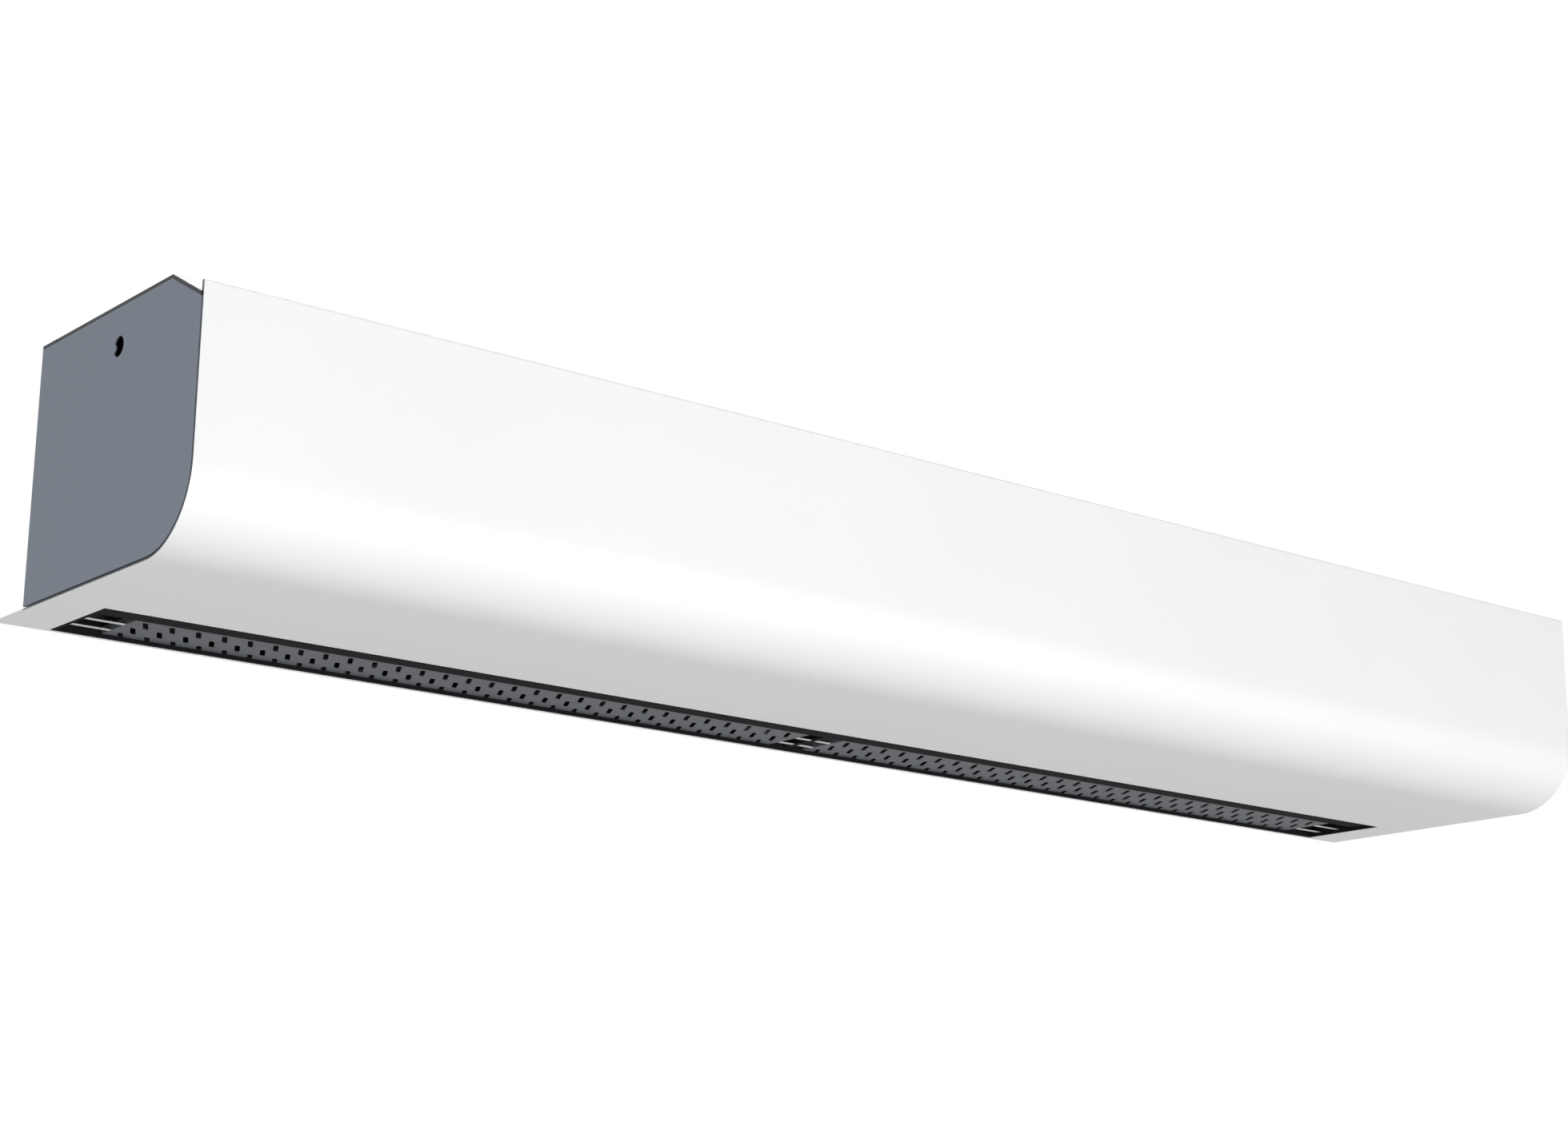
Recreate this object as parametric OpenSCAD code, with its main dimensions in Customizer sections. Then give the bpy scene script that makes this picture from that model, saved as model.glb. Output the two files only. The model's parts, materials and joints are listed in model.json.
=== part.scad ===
// Wall-hung air curtain: a long sheet-metal body over a doorway, with a white
// wrap-round front cover, grey end panels and a long outlet slot in the
// underside next to the wall. Two tangential fan wheels on a double-ended
// motor draw air through the top and blow it down through finned heaters and
// an open lattice grille. The cover swings down on two rear pins for service.
//
// X runs along the length, +Y points at the wall, +Z is up. The origin is the
// centre of the four wall bolts, on the wall plane. Sub-parts are drawn with
// z = 0 at the underside of the body and put in place by on_unit().

/* [Body] */
// Overall length
unit_l = 1555; // [1200:5:2000]
// Height of the body
unit_h = 210; // [200:1:250]
// Depth from the wall to the front face
unit_d = 317; // [305:1:350]
// Free bay between each end of the body and its side plate
end_bay = 42; // [38:1:60]
// Distance from the wall to the rear edge of the end panels
rear_recess = 55; // [30:1:80]
// Horizontal depth of the chamfer along the top front edge
chamfer_d = 49; // [30:1:60]
// Height of that chamfer
chamfer_h = 27; // [18:1:34]

/* [Front cover] */
// Sheet thickness of the cover
cover_t = 1.2; // [0.8:0.1:1.5]
// Outside radius of the lower front bend
corner_r = 63; // [45:1:75]
// Height of the folded hem along the top edge
hem_h = 8.5; // [6:0.5:14]
// Slit between the two leaves of the hem
hem_gap = 0.6; // [0.3:0.1:1]
// Gap between the wall and the rear edge of the bottom plate
wall_gap = 4; // [3:0.5:5]
// Strip of plate left behind the outlet slot
slot_lip = 3.5; // [2.5:0.5:4.5]
// Width of the outlet slot, from front to rear
slot_w = 95.5; // [80:0.5:105]
// Distance from each side plate to the end of the slot
slot_reveal = 0.8; // [0.5:0.1:2]

/* [End panels] */
// Sheet thickness of the end panels
panel_t = 1.5; // [1:0.1:2]
// Gap between an end panel's edge and the inside of the cover
panel_gap = 1.5; // [0.6:0.1:2]
// Diameter of the cable knock-out in each end panel
knockout_d = 16; // [12:0.5:22]
// Distance from the panel's rear edge to the knock-out
knockout_y = 132; // [100:1:150]
// Distance from the top of the body down to the knock-out
knockout_z = 34; // [25:1:45]
// Radius of the rounded tongue that reaches into the knock-out from its rear edge
knockout_tongue = 3.5; // [3:0.5:6]
// Width of the flanges folded in from the end panels
flange_w = 14; // [10:1:18]

/* [Chassis] */
// Thickness of the folded chassis sheets
sheet_t = 1.2; // [1:0.1:1.5]
// Thickness of the two plates that carry the motor
motor_plate_t = 1.5; // [1.2:0.1:2]
// Thickness of the top panel and the intake grille
top_t = 3; // [2:0.1:4]
// Depth of the closed top panel in front of the rear sheet
top_panel_d = 72; // [60:1:80]
// Clearance between the cover's plate and the base tray above it
tray_gap = 1.8; // [1.2:0.1:3]
// Height of the front rail under the chamfer
rail_h = 34; // [24:1:45]

/* [Intake grille] */
// Width of the intake slots
intake_slot = 8; // [6:0.5:9]
// Distance from one row of slots to the next
intake_pitch = 14; // [12:0.5:18]
// Distance from one column of slots to the next
intake_column = 117; // [90:1:150]
// Width of the bars between the columns
intake_bar = 12; // [8:1:20]

/* [Fan] */
// Radius of the fan wheels
rotor_r = 55; // [50:0.5:58]
// Distance from the wall to the fan axis
rotor_y = 105; // [100:1:110]
// Height from the fan axis up to the top of the body
rotor_drop = 83; // [80:1:88]
// Running gap between a fan wheel and the sheets round it
rotor_gap = 5; // [3:0.5:7]
// Number of blades on a fan wheel
blade_n = 24; // [16:1:30]
// Thickness of a blade
blade_t = 1.2; // [0.8:0.1:1.6]
// Radial depth of the blades
blade_d = 11; // [8:0.5:14]
// Number of bays between the discs of a fan wheel
wheel_bays = 5; // [3:1:8]
// Thickness of a disc
disc_t = 2; // [1.5:0.1:3]
// Radius of the stub shafts at the outer ends
stub_r = 4; // [3:0.5:5]

/* [Motor] */
// Outside radius of the motor
motor_r = 46; // [40:1:50]
// Length of the motor's casing
motor_l = 100; // [80:1:110]
// Distance from the middle of the body to each motor plate
motor_plate_x = 62; // [60:1:80]
// Radius of the motor shaft
shaft_r = 5; // [4:0.5:6]
// Radial clearance of a shaft in its bearing
run_gap = 0.05; // [0.02:0.01:0.1]
// Gap between the stator and the turning core
air_gap = 0.6; // [0.4:0.1:1]

/* [Outlet grille] */
// Height of the grille's underside above the body's underside
grille_z = 3; // [2:0.1:4]
// Thickness of the lattice
lattice_t = 1; // [1:0.1:2]
// Width of the lattice
lattice_w = 59; // [54:1:66]
// Distance from one slanted slot to the next along the grille
cell_pitch = 22.9; // [18:0.1:30]
// Distance from one row of slots to the next
cell_row = 21.5; // [20:0.5:23]
// Width of a slanted slot
cell_w = 4.6; // [3:0.1:8]
// Length of a slanted slot, measured across the grille
cell_l = 20.6; // [14:0.1:21]
// Angle that the slots lean by
cell_lean = 27; // [0:1:30]
// Height of the lips folded up at both ends of the lattice
lattice_lip = 6; // [3:0.5:8]
// Gap between the lattice and the rear wall of the duct
lattice_rear = 2.5; // [2.5:0.5:6]
// Length of the open bay at the outer end of the lattice
outer_bay = 42; // [30:1:60]
// Half length of the open bay in the middle of the body
inner_bay = 20; // [15:1:30]
// Distance between the two tie bars in a bay
tie_spacing = 25; // [20:1:30]
// Width of a tie bar
tie_w = 4; // [3:0.5:6]
// Height of the black frame that carries the lattice
frame_h = 8; // [6:0.5:10]
// Height of the frame's rim above the body's underside
rim_z = 0; // [0:0.1:1]
// Gap between the rim and the rear edge of the slot
rim_gap = 0.5; // [0.4:0.1:1]

/* [Heaters] */
// Radius of a heater tube
tube_r = 4.25; // [3.5:0.25:5]
// Height of the tubes above the body's underside
tube_z = 33; // [31:1:36]
// Distance between the two tubes of a heater
tube_spacing = 32; // [26:1:36]
// Distance from one fin to the next
fin_pitch = 15; // [10:1:25]
// Thickness of a fin
fin_t = 0.8; // [0.6:0.1:1.2]
// Height of a fin
fin_h = 26; // [22:1:28]

/* [Hinge] */
// Radius of the hinge pins
pin_r = 2.5; // [2:0.1:3]
// Distance from the wall to the hinge axis
hinge_y = 9; // [8.5:0.1:9.5]
// Height of the hinge axis above the underside
hinge_z = 7; // [6.6:0.1:7.4]
// Thickness of the hinge brackets
hinge_plate_t = 3; // [2:0.1:4]
// Gap between a hinge bracket and the ear on the cover
ear_gap = 2.5; // [1:0.1:4]
// Thickness of the ears on the cover
ear_t = 2; // [1.2:0.1:3]

/* [Electrical box] */
// Length of the box
box_l = 280; // [240:5:320]
// Depth of the box, from front to rear
box_d = 72; // [60:1:76]
// Height of the box
box_h = 90; // [75:1:100]
// Gap between the box and the right side plate
box_gap = 54; // [40:1:100]

/* [Wall brackets] */
// Distance between the two brackets
bracket_spacing = 1000; // [700:10:1100]
// Width of a bracket
bracket_w = 50; // [40:1:60]
// Thickness of a bracket
bracket_t = 3; // [2.5:0.1:4]
// Length of the foot that lies on the top panel
bracket_foot = 58; // [50:1:60]
// Radius of the wall bolt holes
bolt_r = 4.5; // [3:0.1:6]
// Distance between the two bolts of a bracket
bolt_pitch = 26; // [22:1:32]
// Distance from the top of the body up to the lower bolt
bolt_lift = 16; // [14:1:20]
// Radius of the rubber buffers between the body and the wall
buffer_r = 12; // [8:1:16]

/* [Cable gland] */
// Radius of the bore for the mains cable
gland_bore = 6.5; // [4:0.5:7]
// Distance from the right side plate to the gland
gland_inset = 94; // [60:1:180]

/* [Hidden] */

eps = 0.01;
// Gap between sheets that sit on each other without a true seat
fit_gap = 0.2;
rivet_r = 2;
rivet_head = 1.2;
screw_r = 2;
half_l = unit_l / 2;
// The side plates: outer and inner faces
side_x = half_l - end_bay;
bay_x = side_x - sheet_t;
slot_x = bay_x - slot_reveal;

// Set-backs of the sheets from each other
duct_gap = 1.5;
rib_inset = 17;
hem_rise = 1.5;
hem_clear = 0.6;
rear_clear = 1.4;

// Depths, measured along Y from the wall
plate_rear = -wall_gap;
slot_rear = plate_rear - slot_lip;
slot_front = slot_rear - slot_w;
front_y = -unit_d;
duct_rear = slot_rear - duct_gap;
rear_face = duct_rear + sheet_t;
duct_front = slot_front + sheet_t;
rib_front = front_y + rib_inset;
rear_fold = 22;
axis_y = -rotor_y;
rotor_z = unit_h - rotor_drop;

// Heights, measured along Z from the underside of the body
panel_low = cover_t + panel_gap;
tray_z = cover_t + tray_gap;
tray_top = tray_z + sheet_t;
duct_low = tray_z + fit_gap;
rear_low = cover_t + rear_clear;
carcass_top = unit_h - top_t;
chamfer_y = front_y + chamfer_d;
chamfer_slope = chamfer_h / chamfer_d;
slope_factor = norm([chamfer_h, chamfer_d]) / chamfer_d;
chamfer_drop = top_t * slope_factor;
// Height of the chamfer's outer face, or of a line below it, at a depth y
function chamfer_z(y, drop = 0) = unit_h - drop - max(0, chamfer_y - y) * chamfer_slope;

hem_top = unit_h - chamfer_h + hem_h + hem_rise;
hem_inner = front_y + 2 * cover_t + hem_gap;
grille_foot = hem_inner + hem_clear;
tray_front = front_y + corner_r;
rib_foot = 12;
rail_d = 11;
rail_low = chamfer_z(rib_front - sheet_t, chamfer_drop) - fit_gap - rail_h;
flange_h = 12;
tray_lip_h = 17;
frame_top = grille_z + lattice_t + frame_h;
rib_low = frame_top + 8;

// The wall bolts, and the height of the origin above the underside
bolt_z = unit_h + bolt_lift + bolt_pitch / 2;

// Hinge: metal round the pin's hole, and the inner face of the right ear
hinge_rim = 2.2;
ear_x = side_x + hinge_plate_t + ear_gap;

// Motor and fans
boss_r = 15;
boss_reach = 2.5;
boss_l = motor_plate_x + motor_plate_t + boss_reach - motor_l / 2;
casing_t = 4;
core_r = motor_r * 0.56;
core_half = motor_l * 0.3;
rubber_r = 21;
rubber_l = 10;
rubber_rim = 3;
wheel_gap_in = 6.5;
wheel_gap_out = 18;
wheel_in = motor_plate_x + motor_plate_t + wheel_gap_in;
wheel_out = bay_x - wheel_gap_out;
hub_r = 14;
hub_l = 22;
// Width of the rings between the bays of a fan wheel
ring_w = 16;
bush_r = 8;
bush_l = 12;
grommet_r = 16;
grommet_flange = 19;
guide_r = rotor_r + rotor_gap;
tongue_l = 20;

// Lattice and tie bars
lattice_y = duct_rear - lattice_rear - lattice_w / 2;
lattice_in = inner_bay;
lattice_out = slot_x - outer_bay;
// How far the tie bars lie behind the middle of the lattice
tie_shift = 2.5;
// Outer ends of the outlet frame, just inside the slot
frame_x = slot_x - 1;
// Thickness of the outlet frame's end bars, and half that of its middle bar
bar_t = 3;
// Width of the outlet frame's rails and cross ribs
rail_t = 2;
rib_t = 4;

// Heaters
heater_y = (duct_front + duct_rear) / 2;
heater_in = wheel_in + 4;
heater_out = bay_x - 12;
bracket_inset = 14;
heater_plate_h = 20;

// Control box, its lid and the pieces in it
box_x1 = bay_x - box_gap;
box_x0 = box_x1 - box_l;
box_front = tray_front + 4;
box_wall = 1;
lid_t = 1;
clamp_pitch = 10;
clamp_n = 8;
clamp_inset = 14;
board_gap = 18;
board_inset = 14;
capacitor_r = 15;
capacitor_inset = 62;
contactor_l = 36;
contactor_inset = 44;

gland_x = bay_x - gland_inset;

// Puts a sub-part drawn from the underside of the body into the wall's frame
module on_unit() {
    translate([0, 0, -bolt_z]) children();
}

// Extrudes a (Y, Z) outline along X
module along_x(x0, x1) {
    translate([x0, 0, 0]) rotate([90, 0, 90]) linear_extrude(x1 - x0) children();
}

// A cylinder along X
module rod(x0, x1, y, z, r, fn = 48) {
    translate([x0, y, z]) rotate([0, 90, 0]) cylinder(r = r, h = x1 - x0, $fn = fn);
}

module at_both_ends() {
    children();
    mirror([1, 0, 0]) children();
}

// Unit normal to the left of the step from a to b
function step_normal(a, b) = let (d = b - a) [-d[1], d[0]] / norm(d);

// A path of sheet metal moved sideways by t
function moved_path(p, t) = [
    for (i = [0:len(p) - 1])
        let (
            n0 = i > 0 ? step_normal(p[i - 1], p[i]) : step_normal(p[0], p[1]),
            n1 = i < len(p) - 1 ? step_normal(p[i], p[i + 1]) : n0,
            m = (n0 + n1) / norm(n0 + n1)
        ) p[i] + m * t / (m * n0)
];

// The outline of a sheet of thickness t to the left of path p
module sheet_outline(p, t) {
    q = moved_path(p, t);
    polygon(concat(p, [for (i = [len(q) - 1:-1:0]) q[i]]));
}

// The round-cornered body outline, set in by i, up to z = top and back to y = rear
module body_outline(i, top, rear) {
    translate([front_y + i, corner_r]) square([rear - front_y - i, top - corner_r]);
    translate([tray_front, i]) square([rear - tray_front, corner_r - i + eps]);
    translate([tray_front, corner_r]) circle(r = corner_r - i, $fn = 128);
}

// Everything below the chamfered top, set in by the distance drop
module below_chamfer(drop) {
    back = 10;
    fall = drop * slope_factor;
    polygon([
        [back, 0], [back, unit_h - drop], [chamfer_y + (fall - drop) / chamfer_slope, unit_h - drop],
        [front_y, chamfer_z(front_y, fall)], [front_y, 0]
    ]);
}

// ---- Cover ----

module cover_section() {
    leaf = hem_inner - cover_t;
    difference() {
        intersection() {
            body_outline(0, hem_top, plate_rear);
            union() {
                translate([front_y, 0]) square([unit_d, corner_r]);
                translate([front_y, 0]) square([corner_r, hem_top]);
            }
        }
        body_outline(cover_t, hem_top + eps, 0);
    }
    translate([leaf, hem_top - hem_h]) square([cover_t, hem_h]);
    translate([front_y, hem_top - cover_t]) square([hem_inner - front_y, cover_t]);
}

// One of the two ears that turn on the hinge pins
module cover_ear() {
    ear_r = pin_r + hinge_rim;
    difference() {
        along_x(ear_x, ear_x + ear_t) {
            translate([-hinge_y, hinge_z]) circle(r = ear_r, $fn = 48);
            translate([-hinge_y - ear_r, cover_t / 2]) square([2 * ear_r, hinge_z - cover_t / 2]);
        }
        rod(ear_x - 1, ear_x + ear_t + 1, -hinge_y, hinge_z, pin_r + run_gap);
    }
}

module front_cover() {
    color("white") on_unit() {
        difference() {
            along_x(-half_l, half_l) cover_section();
            translate([-slot_x, slot_front, -1]) cube([2 * slot_x, slot_w, cover_t + 2]);
        }
        at_both_ends() cover_ear();
    }
}

// ---- End panels ----

module end_panel_sheet() {
    intersection() {
        body_outline(panel_low, carcass_top, -rear_recess);
        below_chamfer(top_t);
    }
}

// The cable knock-out's hole, with a rounded tongue for a cable tie left at its rear
module knockout() {
    translate([half_l - panel_t / 2, -rear_recess - knockout_y, unit_h - knockout_z]) rotate([0, 90, 0])
        difference() {
            cylinder(r = knockout_d / 2, h = 2 * panel_t, center = true, $fn = 48);
            translate([0, knockout_d / 2, 0])
                cylinder(r = knockout_tongue, h = 4 * panel_t, center = true, $fn = 48);
        }
}

// The right end panel; the left one is its mirror image
module end_panel() {
    inner = half_l - panel_t;
    flange_rear = -rear_recess - chamfer_y - 8;
    color("slategray") on_unit() {
        difference() {
            along_x(inner, half_l) end_panel_sheet();
            knockout();
        }
        translate([side_x, -rear_recess - panel_t, panel_low])
            cube([end_bay, panel_t, carcass_top - panel_low]);
        difference() {
            translate([side_x, -rear_recess - flange_w, panel_low])
                cube([panel_t, flange_w, carcass_top - panel_low]);
            rivet_places() cylinder(r = rivet_r + 0.1, h = 20, center = true, $fn = 32);
        }
        difference() {
            translate([half_l - flange_w, -rear_recess - flange_rear, carcass_top - panel_t])
                cube([flange_w, flange_rear, panel_t]);
            top_screw_places() cylinder(r = screw_r + 0.1, h = 20, center = true, $fn = 32);
        }
        translate([half_l - flange_w, tray_front, panel_low])
            cube([flange_w, -rear_recess - tray_front, panel_t]);
    }
}

// Where the end panels are riveted to the side plates, with Z along the rivet
module rivet_places() {
    for (share = [0.3, 0.75])
        translate([side_x, -rear_recess - flange_w / 2, unit_h * share]) rotate([0, 90, 0]) children();
}

module end_panel_rivets() {
    color("silver") on_unit() at_both_ends() rivet_places() {
        translate([0, 0, -sheet_t - rivet_head]) cylinder(r = rivet_r * 1.8, h = rivet_head, $fn = 32);
        translate([0, 0, -sheet_t - eps]) cylinder(r = rivet_r, h = sheet_t + panel_t + 2 * eps, $fn = 32);
        translate([0, 0, panel_t]) cylinder(r = rivet_r * 1.8, h = rivet_head, $fn = 32);
    }
}

// ---- Top ----

module top_outline() {
    translate([-half_l, rear_face - top_panel_d]) square([unit_l, top_panel_d - rear_recess - rear_face]);
    translate([-side_x, rear_face - top_panel_d]) square([2 * side_x, top_panel_d + sheet_t]);
}

module top_panel() {
    color("dimgray") on_unit() difference() {
        translate([0, 0, carcass_top]) linear_extrude(top_t) top_outline();
        translate([gland_x, rear_face - top_panel_d / 2, carcass_top - 1])
            cylinder(r = gland_bore + 3.6, h = top_t + 2, $fn = 48);
        for (x = [-1, 1], s = [-1, 1])
            translate([x * bracket_spacing / 2 + s * bracket_w / 4, -bracket_foot * 0.65, carcass_top - 1])
                cylinder(r = 3.1, h = top_t + 2, $fn = 32);
        at_both_ends() top_screw_places() cylinder(r = screw_r + 0.1, h = 20, center = true, $fn = 32);
    }
}

// Where the right end's screws go down through the top into the end panel's flange
module top_screw_places() {
    for (y = [-rear_recess - 12, rear_face - top_panel_d - 14, chamfer_y + 20])
        translate([half_l - flange_w / 2, y, unit_h]) children();
}

module top_screws() {
    grip = top_t + panel_t + 5;
    color("silver") on_unit() at_both_ends() top_screw_places() {
        translate([0, 0, -grip]) cylinder(r = screw_r, h = grip + eps, $fn = 32);
        cylinder(r = 2 * screw_r, h = 2, $fn = 32);
    }
}

// The chamfered sheet of bars over the intake
module intake_grille() {
    seam = 0.4;
    rear = rear_face - top_panel_d - seam;
    rows = floor((rear - chamfer_y - 16) / intake_pitch);
    columns = floor((2 * side_x - 20) / intake_column);
    first_x = -columns * intake_column / 2;
    color("dimgray") on_unit() difference() {
        along_x(-half_l, half_l) intersection() {
            difference() {
                below_chamfer(0);
                below_chamfer(top_t);
            }
            translate([grille_foot, 0]) square([rear - grille_foot, unit_h]);
        }
        for (row = [0:rows - 1], column = [0:columns - 1])
            translate([
                first_x + column * intake_column + intake_bar / 2,
                rear - 10 - row * intake_pitch - intake_slot,
                carcass_top - 1
            ]) cube([intake_column - intake_bar, intake_slot, top_t + 2]);
        at_both_ends() top_screw_places() cylinder(r = screw_r + 0.1, h = 20, center = true, $fn = 32);
    }
}

// ---- Chassis ----

module rear_panel() {
    color("gainsboro") on_unit() {
        translate([-side_x, rear_face, rear_low]) cube([2 * side_x, sheet_t, carcass_top - rear_low]);
        difference() {
            translate([-bay_x, rear_face - rear_fold, carcass_top - sheet_t])
                cube([2 * bay_x, rear_fold + eps, sheet_t]);
            translate([gland_x, rear_face - top_panel_d / 2, carcass_top - 5])
                cylinder(r = gland_bore + 8, h = 10, $fn = 48);
        }
    }
}

module base_tray() {
    color("gainsboro") on_unit() along_x(-bay_x, bay_x) {
        translate([tray_front, tray_z]) square([slot_front - tray_front, sheet_t]);
        translate([tray_front - sheet_t, tray_z]) square([sheet_t + eps, tray_lip_h]);
        translate([slot_front - sheet_t, tray_z]) square([sheet_t, flange_h]);
    }
}

module front_rail() {
    inner = half_l - panel_t;
    color("gainsboro") on_unit() {
        along_x(-inner, inner) {
            translate([rib_front - sheet_t, rail_low]) square([sheet_t, rail_h]);
            translate([rib_front - rail_d, rail_low]) square([rail_d, sheet_t]);
        }
    }
}

// The chassis section between the top, the rear sheet, the rail and the tray
module rib_outline(duct_z) {
    polygon([
        [rear_face, duct_z], [rear_face, carcass_top],
        [chamfer_y + (chamfer_drop - top_t) / chamfer_slope, carcass_top],
        [rib_front, chamfer_z(rib_front, chamfer_drop)],
        [rib_front, corner_r + rib_foot], [tray_front, tray_z + tray_lip_h + fit_gap],
        [tray_front, tray_top], [slot_front - sheet_t, tray_top],
        [slot_front - sheet_t, duct_z]
    ]);
}

module side_plate() {
    color("gainsboro") on_unit() difference() {
        along_x(bay_x, side_x) rib_outline(duct_low);
        rod(bay_x - 1, side_x + 1, axis_y, rotor_z, grommet_r);
        rivet_places() cylinder(r = rivet_r + 0.1, h = 20, center = true, $fn = 32);
    }
}

module motor_plate() {
    color("gainsboro") on_unit() difference() {
        along_x(motor_plate_x, motor_plate_x + motor_plate_t) difference() {
            rib_outline(rib_low);
            translate([rear_face - rear_fold - fit_gap, carcass_top - sheet_t - fit_gap])
                square([2 * rear_fold, 2 * sheet_t]);
        }
        rod(motor_plate_x - 1, motor_plate_x + motor_plate_t + 1, axis_y, rotor_z, rubber_r);
    }
}

// The spiral sheet behind a fan wheel, running down as the duct's rear wall
function guide_path() =
    let (
        reach = duct_rear - axis_y,
        first = 80,
        steps = 16,
        spiral = [
            for (i = [0:steps])
                let (a = first * (1 - i / steps), r = guide_r + (reach - guide_r) * pow(i / steps, 1.4))
                    [axis_y + r * cos(a), rotor_z + r * sin(a)]
        ]
    ) concat([[spiral[0][0] + 4, carcass_top]], spiral, [[duct_rear, duct_low]]);

module rear_guide() {
    color("darkslategray") on_unit() along_x(motor_plate_x + motor_plate_t, bay_x)
        sheet_outline(guide_path(), sheet_t);
}

// The sheet in front of a fan wheel: the duct's front wall and its rounded tongue
function tongue_path() =
    let (
        from = asin((duct_front - axis_y) / guide_r),
        to = -50,
        steps = 10,
        arc = [
            for (i = [0:steps])
                let (a = from + (to - from) * i / steps)
                    [axis_y + guide_r * sin(a), rotor_z - guide_r * cos(a)]
        ]
    ) concat([[duct_front, duct_low]], arc, [arc[steps] - [tongue_l, 0]]);

module stabiliser() {
    color("darkslategray") on_unit() along_x(motor_plate_x + motor_plate_t, bay_x)
        sheet_outline(tongue_path(), sheet_t);
}

// ---- Outlet ----

// The black moulding that carries both lattices, with a rim that lines the slot
module outlet_frame() {
    front_bar = lattice_y - lattice_w / 2 - duct_front - fit_gap;
    bar_h = 2;
    bays = 3;
    first_rib = lattice_in + lattice_t;
    rib_span = lattice_out - lattice_in - 2 * lattice_t - rib_t;
    depth = duct_rear - duct_front;
    height = frame_top - rim_z;
    color("black") on_unit() {
        translate([-frame_x, duct_front, grille_z]) cube([2 * frame_x, front_bar, bar_h]);
        translate([-frame_x, slot_rear - rim_gap - rail_t, rim_z])
            cube([2 * frame_x, rail_t, tray_z - rim_z]);
        for (y = [duct_front, duct_rear - rail_t])
            translate([-frame_x, y, rim_z]) cube([2 * frame_x, rail_t, height]);
        at_both_ends() {
            for (i = [0:bays])
                translate([first_rib + rib_span * i / bays, duct_front, grille_z + lattice_t])
                    cube([rib_t, depth, frame_h]);
            translate([frame_x - bar_t, duct_front, rim_z]) cube([bar_t, depth, height]);
        }
        translate([-bar_t, duct_front, grille_z]) cube([2 * bar_t, depth, lattice_t + frame_h]);
    }
}

// A slot with pointed ends that leans by an angle from the Y axis
module cell(lean) {
    half_w = cell_w / 2;
    end = cell_l / 2;
    shoulder = end - half_w / 2;
    corners = [[0, end], [half_w, shoulder], [half_w, -shoulder], [0, -end], [-half_w, -shoulder],
        [-half_w, shoulder]];
    polygon([for (c = corners) [c[0] + c[1] * tan(lean), c[1]]]);
}

// Three rows of slots between lips folded up at both ends; the rear row is open at the edge
module outlet_lattice(lean) {
    margin = 4;
    rear_edge = lattice_y + lattice_w / 2;
    rear_row = rear_edge - 2;
    columns = floor((lattice_out - lattice_in - margin) / cell_pitch);
    first = (lattice_in + lattice_out - (columns - 1) * cell_pitch) / 2;
    color("slategray") on_unit() {
        translate([0, 0, grille_z]) linear_extrude(lattice_t) difference() {
            translate([lattice_in, lattice_y - lattice_w / 2])
                square([lattice_out - lattice_in, lattice_w]);
            for (column = [0:columns - 1], row = [0:2])
                translate([first + column * cell_pitch, rear_row - row * cell_row]) cell(lean);
        }
        for (x = [lattice_in, lattice_out - lattice_t])
            translate([x, rear_edge - lattice_w, grille_z]) cube([lattice_t, lattice_w, lattice_lip]);
        for (side = [-1, 1]) {
            y = lattice_y + tie_shift + side * tie_spacing / 2 - tie_w / 2;
            translate([lattice_out - eps, y, grille_z])
                cube([frame_x - bar_t - lattice_out + eps, tie_w, lattice_t]);
            translate([bar_t, y, grille_z]) cube([lattice_in - bar_t + eps, tie_w, lattice_t]);
        }
    }
}

// Two steel tubes with shared plate fins
module heater() {
    fins = floor((heater_out - heater_in - 2 * bracket_inset - 10) / fin_pitch);
    first = (heater_out + heater_in - (fins - 1) * fin_pitch) / 2;
    color("gray") on_unit() {
        for (side = [-1, 1])
            rod(heater_in, heater_out, heater_y + side * tube_spacing / 2, tube_z, tube_r, 32);
        for (i = [0:fins - 1])
            translate([first + i * fin_pitch - fin_t / 2, heater_y - tube_spacing, tube_z - fin_h / 2])
                cube([fin_t, 2 * tube_spacing, fin_h]);
    }
}

module heater_brackets() {
    depth = duct_rear - duct_front;
    color("silver") on_unit() at_both_ends() difference() {
        for (x = [heater_in + bracket_inset / 2, heater_out - bracket_inset / 2])
            translate([x, duct_front, tube_z - heater_plate_h / 2]) cube([sheet_t, depth, heater_plate_h]);
        for (side = [-1, 1])
            rod(heater_in - 1, heater_out + 1, heater_y + side * tube_spacing / 2, tube_z, tube_r + 0.1, 32);
    }
}

// Overheat switch on the motor side of the right motor plate, over the duct
module thermal_cutout() {
    x = motor_plate_x;
    y = (duct_rear + axis_y) / 2 + 12;
    z = rib_low + 22;
    color("beige") on_unit() {
        rod(x - 1, x, y, z, 12);
        rod(x - 9, x - 1 + eps, y, z, 8);
        for (s = [-1, 1]) translate([x - 15, y + 4 * s - 1, z - 3]) cube([6 + eps, 1, 6]);
    }
}

// ---- Motor ----

module motor_casing() {
    half = motor_l / 2;
    fins = 12;
    fin_end = 12;
    color("gray") on_unit() difference() {
        union() {
            rod(-half, half, axis_y, rotor_z, motor_r, 96);
            rod(-half - boss_l, half + boss_l, axis_y, rotor_z, boss_r);
            for (i = [0:fins - 1])
                translate([0, axis_y, rotor_z]) rotate([(i + 0.5) * 360 / fins, 0, 0])
                    translate([-half + fin_end, -1.5, motor_r - 1]) cube([motor_l - 2 * fin_end, 3, 4]);
        }
        rod(-half + casing_t, half - casing_t, axis_y, rotor_z, motor_r - casing_t, 96);
        rod(-half - boss_l - 1, half + boss_l + 1, axis_y, rotor_z, shaft_r + run_gap);
    }
}

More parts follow.
